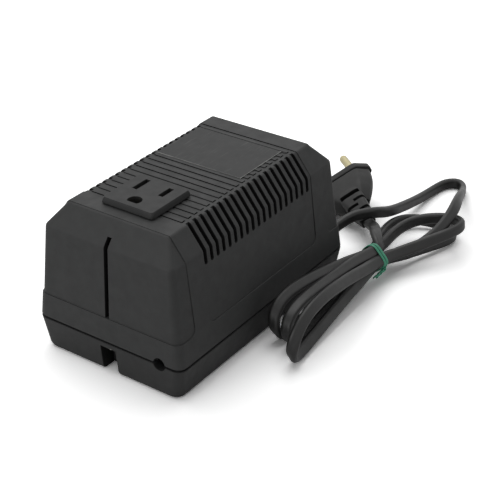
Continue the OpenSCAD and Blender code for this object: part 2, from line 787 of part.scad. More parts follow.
sheath_end = [hole_right, case_l / 2 - sheath_in, parting_z];
core_split = 1.3;
cap_r = 2.6;
cap_l = 14;
cap_bore = 2.1;
core_free_l = 10;
cap_open_y = sheath_end.y - core_free_l;
cap_off = 2.7;
cap_x = hole_right + cap_off;
cap_low_z = parting_z + 8.8;
cap_pitch = 8;
cap_zs = [cap_low_z + cap_pitch, cap_low_z];
twin = wire_r + fit;

module flex_cores() {
    for (i = [0, 1]) {
        z = cap_zs[i];
        from = sheath_end + [0, 0, core_split * (i == 0 ? 1 : -1)];
        mouth = [cap_x - twin, cap_open_y, z];
        color(i == 0 ? [0.4, 0.24, 0.12] : [0.15, 0.3, 0.6]) wire([
            from, from - [0, 2, 0],
            mix(from, mouth, 0.5) + [i == 0 ? -1.5 : 1.5, 0.5, i == 0 ? 1 : -1],
            mouth + [0, 2.5, 0], mouth, mouth - [0, 6, 0]
        ], [1, 0, 0]);
    }
}

module crimp_caps() {
    color([0.86, 0.85, 0.8])
        for (z = cap_zs) translate([cap_x, cap_open_y, z]) rotate([90, 0, 0]) difference() {
            cylinder(r = cap_r, h = cap_l, $fn = round_fn);
            translate([0, 0, -1]) cylinder(r = cap_bore, h = 10, $fn = round_fn);
        }
}

module input_leads() {
    exits = [coil_high - 3, coil_low + 5];
    for (i = [0, 1]) {
        z = cap_zs[i];
        away = i == 0 ? 1 : -1;
        color(i == 0 ? [0.6, 0.12, 0.1] : [0.75, 0.75, 0.72]) wire([
            [coil_face, core_back + 7, exits[i]], [coil_face + 2.5, core_back + 9, exits[i]],
            [cap_x + 1, cap_open_y - 6, z + 5.5 * away], [cap_x + 1.4, cap_open_y + 1, z + 4.5 * away],
            [cap_x + 1.3, cap_open_y + 4.5, z + 2 * away], [cap_x + twin, cap_open_y + 2, z],
            [cap_x + twin, cap_open_y - 6, z]
        ], [1, 0, 0]);
    }
}

module output_leads() {
    for (side = [0, 1]) mirror([side, 0, 0])
        color(side == 0 ? [0.1, 0.1, 0.1] : [0.8, 0.8, 0.78]) wire([
            [coil_face, core_back - 7, coil_high - 4], [coil_face + 2.5, core_back - 9, coil_high - 3.5],
            [coil_face, core_back - 25, tail_z], [blade_gap / 2 + 8, slot_y + 3, tail_z - 2],
            [blade_gap / 2 + 3, slot_y, tail_z + 1.5], [blade_gap / 2 + 0.35, slot_y, tail_z + 2]
        ], [0, 0, 1]);
}

// Flex outside the case

module flex_tail() {
    color([0.2, 0.2, 0.2]) tube(places(tail_rows), leaned(tail_rows, up), flex_w, flex_t, flex_sides);
}

module flex_hank() {
    color([0.22, 0.22, 0.22]) tube(hank_path, hank_wide, flex_w, flex_t, loop_sides);
}

module flex_plug_lead() {
    color([0.2, 0.2, 0.2]) tube(places(plug_rows), leaned(plug_rows, up), flex_w, flex_t, flex_sides);
}

// Frame with X along the passes' row, Y across the layers and Z along the bundle
module at_tie() {
    across = -layer_dir;
    multmatrix([
        [pass_dir.x, across.x, tie_dir.x, tie_at.x],
        [pass_dir.y, across.y, tie_dir.y, tie_at.y],
        [pass_dir.z, across.z, tie_dir.z, tie_at.z]
    ]) children();
}

module hank_tie() {
    spread = 4.2;
    tilt = 17;
    inner_w = pass_pitch + flex_w + spread;
    inner_l = 2 * layer_gap + flex_t + spread;
    inner_r = 3;
    tail_l = 9;
    tail_w = 3;
    tail_t = 1;
    color([0.24, 0.56, 0.42]) at_tie() rotate(tilt, [-cos(tie_lean), -sin(tie_lean), 0]) {
        translate([0, 0, -tie_w / 2]) linear_extrude(tie_w) difference() {
            rounded(inner_w + 2 * tie_t, inner_l + 2 * tie_t, inner_r + tie_t);
            rounded(inner_w, inner_l, inner_r);
        }
        translate([inner_w / 2 + tie_t, 1, 0]) rotate([0, 155, 0])
            linear_extrude(tail_l, twist = 540, slices = 24) square([tail_t, tail_w], center = true);
    }
}

// Plug

module at_plug() {
    translate(plug_at) rotate([-plug_roll, plug_dip, plug_heading]) children();
}

module plug_face(w, t) {
    flat_w = w * 0.64;
    end_t = t * 0.33;
    polygon([
        [flat_w / 2, t / 2], [w / 2, end_t / 2], [w / 2, -end_t / 2], [flat_w / 2, -t / 2],
        [-flat_w / 2, -t / 2], [-w / 2, -end_t / 2], [-w / 2, end_t / 2], [-flat_w / 2, t / 2]
    ]);
}

module plug_slice(x, w, t, h) {
    translate([x, 0, 0]) rotate([90, 0, 90]) translate([0, 0, -h]) linear_extrude(h) plug_face(w, t);
}

module plug_body() {
    grip_l = 25;
    groove_l = 1;
    relief_w = 12;
    relief_t = 10;
    end_w = flex_w + 2;
    end_t = flex_t + 1.8;
    slot_pitch = 5;
    slot_x = flange_t + 19;
    slot_ws = [2, 1.2, 1.2, 1.2];
    color([0.2, 0.2, 0.2]) at_plug() difference() {
        union() {
            plug_slice(0, plug_w, plug_t, flange_t);
            plug_slice(-flange_t, plug_w - 1.6, plug_t - 1.6, groove_l);
            hull() {
                plug_slice(-flange_t - groove_l, plug_w - 1.5, plug_t - 0.4, thin);
                plug_slice(-flange_t - 0.3 * grip_l, plug_w - 4.5, plug_t - 0.4, thin);
                plug_slice(-flange_t - 0.6 * grip_l, plug_w - 10, plug_t - 0.8, thin);
                plug_slice(-flange_t - 0.8 * grip_l, plug_w - 14.5, plug_t - 1.6, thin);
                plug_slice(-flange_t - grip_l, relief_w + 3, relief_t - 0.5, thin);
            }
            hull() {
                plug_slice(-flange_t - 0.6 * grip_l, relief_w, relief_t + 2, thin);
                plug_slice(-plug_l, end_w, end_t, thin);
            }
        }
        for (i = [0 : 3])
            translate([-slot_x - slot_pitch * i, 0, 0]) mirror([0, i % 2, 0])
                translate([0, i == 0 ? -3.5 : -0.5, -big / 2]) cube([slot_ws[i], big, big]);
        for (y = [-1, 1])
            translate([-pin_root_l, y * pin_gap / 2, 0]) rotate([0, 90, 0])
                cylinder(r = pin_root_r, h = big, $fn = round_fn);
    }
}

// Pins with a thinner root held in the moulding and a round tip
module plug_pins() {
    color([0.76, 0.73, 0.62]) at_plug()
        for (y = [-1, 1]) translate([0, y * pin_gap / 2, 0]) rotate([0, 90, 0]) {
            translate([0, 0, -pin_root_l]) cylinder(r = pin_root_r, h = pin_root_l + 1, $fn = round_fn);
            cylinder(r = pin_r, h = pin_l - pin_r, $fn = round_fn);
            translate([0, 0, pin_l - pin_r]) sphere(pin_r, $fn = round_fn);
        }
}

cover();
base_tray();
case_screws();
rating_label();
outlet_face();
outlet_housing();
line_contact();
neutral_contact();
ground_contact();
core_e_stack();
core_i_stack();
coil_former();
coil_winding();
coil_tape();
core_strap();
core_screws();
thermal_cutout();
flex_clamp();
flex_clamp_screws();
flex_cores();
crimp_caps();
input_leads();
output_leads();
flex_tail();
flex_hank();
flex_plug_lead();
hank_tie();
plug_body();
plug_pins();
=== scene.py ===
"""Travel voltage converter: finishes of the case, its tied mains flex and plug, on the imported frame."""

import math

import bmesh
import bpy
from mathutils import Matrix, Vector
from mathutils.bvhtree import BVHTree


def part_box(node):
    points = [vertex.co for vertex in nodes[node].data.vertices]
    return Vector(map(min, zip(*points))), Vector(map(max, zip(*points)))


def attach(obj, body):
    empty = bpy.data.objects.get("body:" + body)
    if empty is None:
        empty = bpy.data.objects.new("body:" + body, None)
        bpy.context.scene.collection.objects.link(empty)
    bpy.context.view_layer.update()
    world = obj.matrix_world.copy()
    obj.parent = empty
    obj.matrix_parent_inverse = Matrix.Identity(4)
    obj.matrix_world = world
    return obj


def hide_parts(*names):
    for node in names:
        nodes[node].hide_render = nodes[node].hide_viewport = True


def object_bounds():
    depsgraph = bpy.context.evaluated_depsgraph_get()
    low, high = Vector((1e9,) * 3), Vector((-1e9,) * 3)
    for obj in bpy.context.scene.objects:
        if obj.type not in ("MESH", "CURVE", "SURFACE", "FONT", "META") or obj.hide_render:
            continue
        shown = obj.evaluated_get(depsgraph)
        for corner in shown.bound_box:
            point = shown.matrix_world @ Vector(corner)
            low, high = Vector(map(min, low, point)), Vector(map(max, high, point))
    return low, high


MM = 0.001
UP = Vector((0, 0, 1))

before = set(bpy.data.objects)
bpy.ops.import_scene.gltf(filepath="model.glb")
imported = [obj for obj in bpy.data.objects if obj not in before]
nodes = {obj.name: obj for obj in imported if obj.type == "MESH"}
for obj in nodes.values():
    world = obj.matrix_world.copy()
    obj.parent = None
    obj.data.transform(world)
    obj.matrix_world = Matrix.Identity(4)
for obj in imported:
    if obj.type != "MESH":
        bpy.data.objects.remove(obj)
cad_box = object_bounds()
scene = bpy.context.scene
scene.view_settings.view_transform = "Standard"

# Camera, fitted to the corners, vents and outlet of the case in the photograph

CAMERA_AZIMUTH = math.radians(35.86)
CAMERA_ELEVATION = math.radians(30.77)
CAMERA_ROLL = math.radians(-0.9)
CAMERA_TARGET = Vector((-114.36, 197.92, -106.52)) * MM
CAMERA_DISTANCE = 814.48 * MM
FOCAL_PIXELS = 1272.15
IMAGE_PIXELS = 500
SENSOR_WIDTH = 36
CLIP_START = 10 * MM


def add_camera():
    back = Vector((
        math.sin(CAMERA_AZIMUTH) * math.cos(CAMERA_ELEVATION),
        -math.cos(CAMERA_AZIMUTH) * math.cos(CAMERA_ELEVATION),
        math.sin(CAMERA_ELEVATION),
    ))
    level = Vector((math.cos(CAMERA_AZIMUTH), math.sin(CAMERA_AZIMUTH), 0))
    above = back.cross(level)
    right = level * math.cos(CAMERA_ROLL) + above * math.sin(CAMERA_ROLL)
    matrix = Matrix((right, back.cross(right), back)).transposed().to_4x4()
    matrix.translation = CAMERA_TARGET + back * CAMERA_DISTANCE
    data = bpy.data.cameras.new("camera")
    data.sensor_width = SENSOR_WIDTH
    data.lens = FOCAL_PIXELS / IMAGE_PIXELS * SENSOR_WIDTH
    data.clip_start = CLIP_START
    camera = bpy.data.objects.new("camera", data)
    camera.matrix_world = matrix
    scene.collection.objects.link(camera)
    scene.camera = camera


add_camera()


# Mesh helpers


def add_object(name, bm):
    """A smooth-shaded object of the mesh bm, which is used up."""
    mesh = bpy.data.meshes.new(name)
    for face in bm.faces:
        face.smooth = True
    bm.to_mesh(mesh)
    bm.free()
    obj = bpy.data.objects.new(name, mesh)
    scene.collection.objects.link(obj)
    return obj


def apply_modifiers(obj):
    """Replaces the mesh of obj by what its modifiers make of it."""
    depsgraph = bpy.context.evaluated_depsgraph_get()
    mesh = bpy.data.meshes.new_from_object(obj.evaluated_get(depsgraph))
    obj.modifiers.clear()
    obj.data = mesh


def skin(bm, rings):
    """Joins rings of points, each of the same count, into one closed tube."""
    rows = [[bm.verts.new(p) for p in ring] for ring in rings]
    count = len(rows[0])
    for a, b in zip(rows, rows[1:]):
        for s in range(count):
            t = (s + 1) % count
            bm.faces.new((a[s], a[t], b[t], b[s]))
    bm.faces.new(rows[0][::-1])
    bm.faces.new(rows[-1])
    bmesh.ops.recalc_face_normals(bm, faces=bm.faces)


def signed_power(value, power):
    return math.copysign(abs(value) ** power, value)


def oval(width, thickness, power, count):
    """A flat oval as points (across, up): power 1 is an ellipse, and less is squarer."""
    turns = [2 * math.pi * (i + 0.5) / count for i in range(count)]
    return [
        (width / 2 * signed_power(math.cos(t), power), thickness / 2 * signed_power(math.sin(t), power))
        for t in turns
    ]


def rectangle(left, right, front, rear):
    return [(left, front), (right, front), (right, rear), (left, rear)]


def tangents(path):
    last = len(path) - 1
    return [(path[min(i + 1, last)] - path[max(i - 1, 0)]).normalized() for i in range(len(path))]


def square_to(vector, tangent):
    return (vector - tangent * vector.dot(tangent)).normalized()


def rings_along(path, wide, section):
    """A section at each point of a path; wide points along the section's first axis."""
    rings = []
    side = None
    for point, tangent, axis in zip(path, tangents(path), wide):
        axis = square_to(axis, tangent)
        if side is not None and axis.dot(side) < 0:
            axis = -axis
        side = axis
        other = tangent.cross(axis)
        rings.append([point + axis * a + other * b for a, b in section])
    return rings


def curve(rows, steps):
    """One smooth curve through all rows, with a number of steps between two of them."""
    rows = [Vector(r) for r in rows]
    ends = [2 * rows[0] - rows[1]] + rows + [2 * rows[-1] - rows[-2]]
    points = []
    for a, b, c, d in zip(ends, ends[1:], ends[2:], ends[3:]):
        for s in range(steps):
            t = s / steps
            linear = (c - a) * t
            square = (2 * a - 5 * b + 4 * c - d) * t**2
            cube = (3 * b - a - 3 * c + d) * t**3
            points.append(0.5 * (2 * b + linear + square + cube))
    return points + [rows[-1]]


def smoothed(values, times):
    """Values averaged with their neighbours a number of times, apart from two at each end."""
    for _ in range(times):
        values = [
            v if i < 2 or i > len(values) - 3 else (values[i - 1] + 2 * v + values[i + 1]) / 4
            for i, v in enumerate(values)
        ]
    return values


# Mains flex, on the route of its solids, in millimetres until it is swept

FLEX_WIDTH = 5.4
FLEX_THICKNESS = 3.4
FLEX_WAIST = 0.16
FLEX_POWER = 0.78
FLEX_POINTS = 32
HOLE_AT = Vector((27, 60.2, 15.2))
PASS_PITCH = 5.9
LAYER_GAP = 4
# Passes drawn in under the tie: reach along the bundle, reach in points of the path,
# and the share that they keep of their distance from the middle of the tie
DRAW_REACH = 20
DRAW_POINTS = 20
DRAW_IN = 0.9
TIE_AT = Vector((52, 65.4, 10.8))
TIE_HEADING = math.radians(76)
TIE_LEAN = math.radians(46)
# Straight lead of a pass beside the tie, lead of the last pass, and reach of the bundle round the tie
TIE_LEAD = 4.4
END_LEAD = 1.5
TIE_REACH = 12
# Column and layer of each pass of the flex under the tie
PASS_COLUMN = [1, 1, -1, -1, 1, -1]
PASS_LAYER = [0, 1, 0, -1, -1, 1]
TIE_DIR = Vector((math.cos(TIE_HEADING), math.sin(TIE_HEADING), 0))
TIE_SIDE = Vector((math.sin(TIE_HEADING), -math.cos(TIE_HEADING), 0))
LAYER_DIR = math.cos(TIE_LEAN) * TIE_SIDE + math.sin(TIE_LEAN) * UP
PASS_DIR = math.sin(TIE_LEAN) * TIE_SIDE - math.cos(TIE_LEAN) * UP
# Loops in front of the tie and behind it in turn:
# far end, half opening on the way out and on the way back, lean of the loop, lean of the flex in it
LOOPS = [
    (Vector((60.5, -16.5, 9.5)), -4.5, -17.5, 84, 36),
    (Vector((69.5, 111, 14.2)), 5, 19.5, 14, 5),
    (Vector((44.5, -6, 10.5)), 11, 9, 99, 59),
    (Vector((61, 119.5, 3.4)), -22.5, -4, 0, 10),
    (Vector((52, -7.5, 10.5)), -7, -7.5, 95, 79),
]
# How much a loop closes near the tie
GATHER = 0.2
# Far end of a loop: the most that it is blunt, and the value that a narrow loop comes near to
BLUNT_MOST = 0.4
BLUNT_FROM = 0.5
# How soon the flex takes its own lean in a loop
LEAN_RATE = 1.5
LOOP_RINGS = 24
LOOP_STEPS = 3
HANK_SMOOTH = 3

PLUG_AT = Vector((0.5, 116.5, 11))
PLUG_HEADING = 141
PLUG_DIP = 1
PLUG_ROLL = 28
PLUG_LENGTH = 42
PLUG_TURN = (
    Matrix.Rotation(math.radians(PLUG_HEADING), 3, "Z")
    @ Matrix.Rotation(math.radians(PLUG_DIP), 3, "Y")
    @ Matrix.Rotation(math.radians(-PLUG_ROLL), 3, "X")
)
PLUG_DIR = PLUG_TURN @ Vector((1, 0, 0))
RELIEF_END = PLUG_AT - PLUG_DIR * PLUG_LENGTH

# First points of the flex at its hole and at the end of the bend relief: distances on the way out
TAIL_START = (-14, -2, 5.8)
LEAD_START = (-20, -10, 0, 2)

# Free flex from its hole to the hank: x, y, z and the lean of its wide side from upright
TAIL_ROUTE = [
    (28, 73, 16.7, 0), (31, 80, 18.6, 0), (34.8, 85.6, 18.6, 0), (37.2, 91.6, 17.3, 0),
    (37.3, 102.4, 12.8, 0), (36.5, 118.8, 8, 0), (36, 138, 4, 0), (36.5, 152, 2.9, 0),
    (38.5, 160, 2.9, 0), (43.5, 163.5, 2.9, 0), (48, 160, 3.2, 0), (51.5, 152, 5.5, 0),
    (57.5, 138, 12, 0), (62.5, 125.5, 17.6, 15), (66.4, 115, 20.4, 40), (68.2, 107.5, 20, 60),
    (68, 102, 17.2, 60), (66.8, 97, 14.2, 55), (64.8, 92, 11.8, 50), (62.2, 85.5, 9.6, 46),
    (59.4, 79, 9, 46), (56.5, 73, 9.2, 46),
]
# Free flex from the plug to the hank, in the same terms
PLUG_ROUTE = [
    (38, 84.8, 13.8, -66), (41.5, 80.8, 15.8, -76), (44.5, 77, 17, -90), (47.2, 73.2, 17.7, -104),
    (50.2, 69.6, 17.4, -120),
]
ROUTE_STEPS = 6
ROUTE_SMOOTH = 5


def row(point, lean):
    return (*point, lean)


def pass_at(i):
    """Where the flex goes through the tie for the i-th time."""
    layer = LAYER_DIR * (LAYER_GAP * PASS_LAYER[i])
    column = PASS_DIR * (PASS_PITCH / 2 * PASS_COLUMN[i])
    return TIE_AT + layer + column


def mouth(k):
    """Where the k-th loop starts and ends, clear of the tie."""
    lead = TIE_DIR * (TIE_LEAD * (-1 if k % 2 == 0 else 1))
    return pass_at(k) + lead, pass_at(k + 1) + lead


def loop_axes(k):
    """Axis of a loop, and the directions beside and above it."""
    start, end = mouth(k)
    axis = LOOPS[k][0] - (start + end) / 2
    beside = UP.cross(axis).normalized()
    if beside.dot(TIE_SIDE) < 0:
        beside = -beside
    above = axis.cross(beside).normalized()
    return axis, beside, above if above.z > 0 else -above


def loop_row(k, a):
    """Point of a loop, and the direction of the flex's wide side there, a of the way along it."""
    _, opening_out, opening_back, loop_lean, flex_lean = LOOPS[k]
    start, end = mouth(k)
    axis, beside, above = loop_axes(k)
    loop_lean = math.radians(loop_lean)
    flex_lean = math.radians(flex_lean)
    turn = math.pi * a
    near = math.cos(turn) ** 2
    opening = opening_out + (opening_back - opening_out) * (1 - math.cos(turn)) / 2
    blunt = max(0, min(BLUNT_MOST, BLUNT_FROM - abs(opening_out + opening_back) / axis.length))
    out = math.sin(turn) * (1 + blunt * near)
    across = math.cos(loop_lean) * beside + math.sin(loop_lean) * above
    aside = math.sin(2 * turn) * opening * (1 - GATHER * near)
    point = start.lerp(end, a) + axis * out + across * aside
    spread = min(1, LEAN_RATE * math.sin(turn))
    wide = PASS_DIR.lerp(math.sin(flex_lean) * beside - math.cos(flex_lean) * above, spread)
    return point, wide.normalized()


def hank():
    """Path of the hank and its wide directions."""
    start = pass_at(0) + TIE_DIR * TIE_LEAD
    end = pass_at(len(LOOPS)) + TIE_DIR * END_LEAD
    half_lead = TIE_DIR * (TIE_LEAD / 2)
    loops = [loop_row(k, s / LOOP_RINGS) for k in range(len(LOOPS)) for s in range(LOOP_RINGS + 1)]
    path = [start, start - half_lead] + [p for p, _ in loops] + [end - half_lead, end]
    wide = [PASS_DIR] * 2 + [w for _, w in loops] + [PASS_DIR] * 2
    return curve(smoothed(path, HANK_SMOOTH), LOOP_STEPS), curve(smoothed(wide, HANK_SMOOTH), LOOP_STEPS)


def leaned(rows):
    """Path and wide directions of rows that give a lean from upright."""
    path = [r.to_3d() for r in rows]
    wide = []
    for r, tangent in zip(rows, tangents(path)):
        upright = square_to(UP, tangent)
        lean = math.radians(r[3])
        wide.append(upright * math.cos(lean) + tangent.cross(upright) * math.sin(lean))
    return path, wide


def drawn_in(path):
    """The path with its passes drawn together under the tie."""
    along = [(p - TIE_AT).dot(TIE_DIR) for p in path]
    crossings = [
        i for i in range(1, len(path))
        if along[i - 1] * along[i] <= 0 and (path[i] - TIE_AT).length < TIE_REACH
    ]
    drawn = [p.copy() for p in path]
    for k, i in enumerate(crossings):
        shift = TIE_AT.lerp(pass_at(k), DRAW_IN) - path[i]
        shift -= TIE_DIR * shift.dot(TIE_DIR)
        for j in range(len(path)):
            near = range(min(i, j), max(i, j) + 1)
            if abs(j - i) < DRAW_POINTS and all(abs(along[n]) < DRAW_REACH for n in near):
                drawn[j] += shift * (1 - (along[j] / DRAW_REACH) ** 2) ** 2
    return drawn


def flex_route():
    """Path and wide directions of the whole flex, from inside the case to inside the plug."""
    path, wide = hank()
    lean = math.degrees(TIE_LEAN)
    tail = curve(
        [row(HOLE_AT + Vector((0, y, 0)), 0) for y in TAIL_START]
        + TAIL_ROUTE
        + [row(path[0], lean)],
        ROUTE_STEPS,
    )
    lead = curve(
        [row(RELIEF_END - PLUG_DIR * s, PLUG_ROLL - 90) for s in LEAD_START]
        + PLUG_ROUTE
        + [row(path[-1], lean - 180)],
        ROUTE_STEPS,
    )
    tail_path, tail_wide = leaned(tail)
    lead_path, lead_wide = leaned(lead)
    path = smoothed(tail_path[:-1] + path + lead_path[-2::-1], ROUTE_SMOOTH)
    wide = smoothed(tail_wide[:-1] + wide + lead_wide[-2::-1], ROUTE_SMOOTH)
    return drawn_in(path), wide


def flex_section():
    """The flat oval of a twin flex, with a shallow valley between its two cores."""
    valley = FLEX_WIDTH / 4
    points = []
    for across, up in oval(FLEX_WIDTH, FLEX_THICKNESS, FLEX_POWER, FLEX_POINTS):
        depth = FLEX_WAIST * max(0, 1 - (across / valley) ** 2)
        points.append((across * MM, math.copysign(abs(up) - depth, up) * MM))
    return points


def add_flex():
    path, wide = flex_route()
    path = [p * MM for p in path]
    rings = rings_along(path, wide, flex_section())
    bm = bmesh.new()
    skin(bm, rings)
    flex = add_object("mains_flex", bm)
    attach(flex, "root")
    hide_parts("flex_tail", "flex_hank", "flex_plug_lead")
    return flex, path, rings


flex, flex_path, flex_rings = add_flex()


# Twist tie round the hank

# Ribbon: width, half thickness, radius of its wire and the wire's shoulders as shares of it
TIE_WIDTH = 1.15
TIE_EDGE = 0.16
TIE_WIRE = 0.36
WIRE_SHOULDER = (0.6, 0.8)
# Band: slack, pitch, shift along the bundle, slant, turns, steps in a turn, start, smoothing
TIE_SLACK = 0.4
TIE_PITCH = 1.5
TIE_SHIFT = -1.5
TIE_SLANT = 0.2
TIE_TURNS = 2
TIE_STEPS = 72
TIE_START = math.radians(20)
TIE_SMOOTH = 6
# Directions that face each other less than this don't limit the band
TIE_FACING = 0.1
# Twisted ends: distance outside the band, length, turns, radius, steps, heading
TWIST_OUT = 0.9
TWIST_LENGTH = 6.4
TWIST_TURNS = 1.25
TWIST_RADIUS = 0.55
TWIST_STEPS = 28
TWIST_ALONG = 0.93
TWIST_DOWN = 0.36
# One end is longer: it is stretched from this share of its way on
LONG_END_FROM = 0.8
LONG_END_STRETCH = 8


def tie_point(across, up, along):
    """A point of the slanting tie: across the passes, up through their layers and along the bundle."""
    spot = PASS_DIR * across + LAYER_DIR * up
    return TIE_AT + spot + TIE_DIR * (TIE_SHIFT + along + TIE_SLANT * spot.dot(TIE_SIDE))


def bundle_points():
    """Surface points (across, up) of the passes of the flex where the tie goes round them."""
    points = []
    for ring in flex_rings:
        spots = [p / MM - TIE_AT for p in ring]
        middle = sum(spots, Vector()) / len(spots)
        along = middle.dot(TIE_DIR) - TIE_SHIFT - TIE_SLANT * middle.dot(TIE_SIDE)
        if abs(along) < TIE_PITCH and middle.length < TIE_REACH:
            points += [Vector((p.dot(PASS_DIR), p.dot(LAYER_DIR))) for p in spots]
    return points


def tie_radii():
    """Distance of the tie from the middle of the bundle, in equal steps round it."""
    points = bundle_points()
    ways = [2 * math.pi * i / TIE_STEPS for i in range(TIE_STEPS)]
    ways = [Vector((math.cos(w), math.sin(w))) for w in ways]
    # A tight band lies on the lines that touch the bundle from outside
    reach = [max(p.dot(way) for p in points) + TIE_SLACK for way in ways]
    radii = [min(r / w.dot(way) for r, w in zip(reach, ways) if w.dot(way) > TIE_FACING) for way in ways]
    for _ in range(TIE_SMOOTH):
        radii = [
            (radii[i - 1] + 2 * radii[i] + radii[(i + 1) % TIE_STEPS]) / 4
            for i in range(TIE_STEPS)
        ]
    return radii


def ribbon_section():
    """A flat ribbon with a round wire along its middle."""
    half = TIE_WIDTH / 2
    out, up = WIRE_SHOULDER
    top = [(-half, TIE_EDGE), (-TIE_WIRE, TIE_EDGE), (-TIE_WIRE * out, TIE_WIRE * up), (0, TIE_WIRE)]
    top += [(-x, y) for x, y in top[-2::-1]]
    return [(x * MM, y * MM) for x, y in top + [(-x, -y) for x, y in top]]


def add_tie():
    bm = bmesh.new()
    radii = tie_radii()
    path = []
    for i in range(TIE_TURNS * TIE_STEPS + 1):
        turn = TIE_START + 2 * math.pi * i / TIE_STEPS
        radius = radii[round(turn / (2 * math.pi) * TIE_STEPS) % TIE_STEPS]
        along = TIE_PITCH * (i / TIE_STEPS - TIE_TURNS / 2)
        path.append(tie_point(radius * math.cos(turn), radius * math.sin(turn), along) * MM)
    skin(bm, rings_along(path, [TIE_DIR] * len(path), ribbon_section()))
    # The two ends twist round each other, along the bundle and down
    heading = (-TIE_DIR * TWIST_ALONG - UP * TWIST_DOWN).normalized()
    first = heading.orthogonal().normalized()
    second = heading.cross(first)
    root = radii[round(TIE_START / (2 * math.pi) * TIE_STEPS)] + TWIST_OUT
    root = tie_point(root * math.cos(TIE_START), root * math.sin(TIE_START), 0)
    for strand in (0, math.pi):
        path = []
        wide = []
        for i in range(TWIST_STEPS + 1):
            share = i / TWIST_STEPS
            turn = strand + 2 * math.pi * TWIST_TURNS * share
            ring = first * math.cos(turn) + second * math.sin(turn)
            length = TWIST_LENGTH * share
            if strand:
                length += LONG_END_STRETCH * max(0, share - LONG_END_FROM)
            path.append((root + heading * length + ring * TWIST_RADIUS) * MM)
            wide.append(heading.cross(ring))
        skin(bm, rings_along(path, wide, ribbon_section()))
    tie = add_object("twist_tie", bm)
    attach(tie, "root")
    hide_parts("hank_tie")
    return tie


tie = add_tie()


# Plug

PLUG_WIDTH = 34.5
PLUG_THICKNESS = 12.8
# Outline: flat part of its width, upright part of its ends, share of a side that each corner takes
PLUG_FLAT = 0.64
PLUG_END = 0.22
FLANGE_CORNER = 0.12
GRIP_CORNER = 0.14
CORNER_STEPS = 4
PROFILE_STEPS = 3
PLUG_SHARP = math.radians(35)
# Along the plug from its face: distance, and inset of the outline
FLANGE_PROFILE = [
    (0, 0.75), (0.12, 0.4), (0.45, 0.1), (0.9, 0), (3.7, 0), (4.15, 0.12), (4.42, 0.4), (4.5, 0.8),
]
GROOVE_PROFILE = [(4.52, 1.25), (5.4, 1.25)]
# Along the grip: distance from the face, width, thickness
GRIP_PROFILE = [
    (5.45, 30.6, 11.6), (5.6, 31.4, 12.3), (6, 31.6, 12.5), (9, 30.4, 12.5), (12.5, 28.5, 12.4),
    (16, 25.9, 12.1), (19.5, 22.7, 11.4), (22.5, 19.5, 10.2), (25.5, 15.8, 8.6), (27.5, 12.8, 6.8),
    (28.4, 11, 5.6), (28.8, 9.4, 4.4),
]
# Along the bend relief: distance from the face, width, thickness
RELIEF_PROFILE = [
    (16, 12.4, 11.4), (20, 12.3, 12.1), (24, 12.1, 12.1), (28, 11.4, 11), (34, 9.8, 8.4),
    (40.6, 7.7, 5.6), (41.6, 7.3, 5.2), (42, 6.6, 4.6),
]
RELIEF_POWER = 0.36
RELIEF_POINTS = 40
# Slots of the bend relief: end behind the face, width, and where it starts and ends across the relief
SLOTS = [(24.3, 3.1, -5.2, 5), (29, 1.8, -9, 0), (32.4, 1.8, -1, 9), (36.2, 1.8, -9, 0)]
SLOT_CORNER = 0.06
SLOT_CORNER_STEPS = 3
SLOT_REACH = 10


def plug_point(x, y, z):
    return (PLUG_AT + PLUG_TURN @ Vector((x, y, z))) * MM


def cut_corners(points, share, steps):
    """Rounds every corner of a closed outline."""
    out = []
    for i, corner in enumerate(points):
        before = corner.lerp(points[i - 1], share)
        after = corner.lerp(points[(i + 1) % len(points)], share)
        for s in range(steps + 1):
            t = s / steps
            out.append(before.lerp(corner, t).lerp(corner.lerp(after, t), t))
    return out


def plug_outline(width, thickness, share):
    flat, end = width * PLUG_FLAT / 2, thickness * PLUG_END / 2
    half, top = width / 2, thickness / 2
    right = [(flat, top), (half, end), (half, -end), (flat, -top)]
    corners = right + [(-x, y) for x, y in right[::-1]]
    return cut_corners([Vector(c) for c in corners], share, CORNER_STEPS)


def loft(slices):
    """A closed mesh through outlines at distances behind the plug's face."""
    bm = bmesh.new()
    skin(bm, [[plug_point(-x, p.x, p.y) for p in outline] for x, outline in slices])
    return bm


def join(target, tool, operation):
    """Adds the tool to the target or cuts it out, and removes the tool."""
    modifier = target.modifiers.new(operation.lower(), "BOOLEAN")
    modifier.object = tool
    modifier.operation = operation
    modifier.solver = "EXACT"
    apply_modifiers(target)
    bpy.data.objects.remove(tool)


def slot_cutter(x, width, start, end):
    """A rounded block for one slot of the bend relief."""
    corners = [Vector(c) for c in rectangle(x - width, x, start, end)]
    outline = cut_corners(corners, SLOT_CORNER, SLOT_CORNER_STEPS)
    bm = bmesh.new()
    skin(bm, [[plug_point(-p.x, p.y, z) for p in outline] for z in (-SLOT_REACH, SLOT_REACH)])
    return add_object("slot_cutter", bm)


def add_plug():
    body = [
        (x, plug_outline(PLUG_WIDTH - 2 * inset, PLUG_THICKNESS - 2 * inset, FLANGE_CORNER))
        for x, inset in FLANGE_PROFILE + GROOVE_PROFILE
    ]
    body += [(x, plug_outline(w, t, GRIP_CORNER)) for x, w, t in curve(GRIP_PROFILE, PROFILE_STEPS)]
    plug = add_object("mains_plug", loft(body))
    relief = [
        (x, [Vector(p) for p in oval(w, t, RELIEF_POWER, RELIEF_POINTS)])
        for x, w, t in curve(RELIEF_PROFILE, PROFILE_STEPS)
    ]
    join(plug, add_object("relief", loft(relief)), "UNION")
    for slot in SLOTS:
        join(plug, slot_cutter(*slot), "DIFFERENCE")
    plug.data.shade_smooth()
    plug.data.set_sharp_from_angle(angle=PLUG_SHARP)
    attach(plug, "root")
    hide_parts("plug_body")
    return plug


plug = add_plug()


# Shells of the case: copies of the solids with soft edges

SHARP = math.radians(33)
LEVEL = math.radians(0.05)
SEAM = 0.002
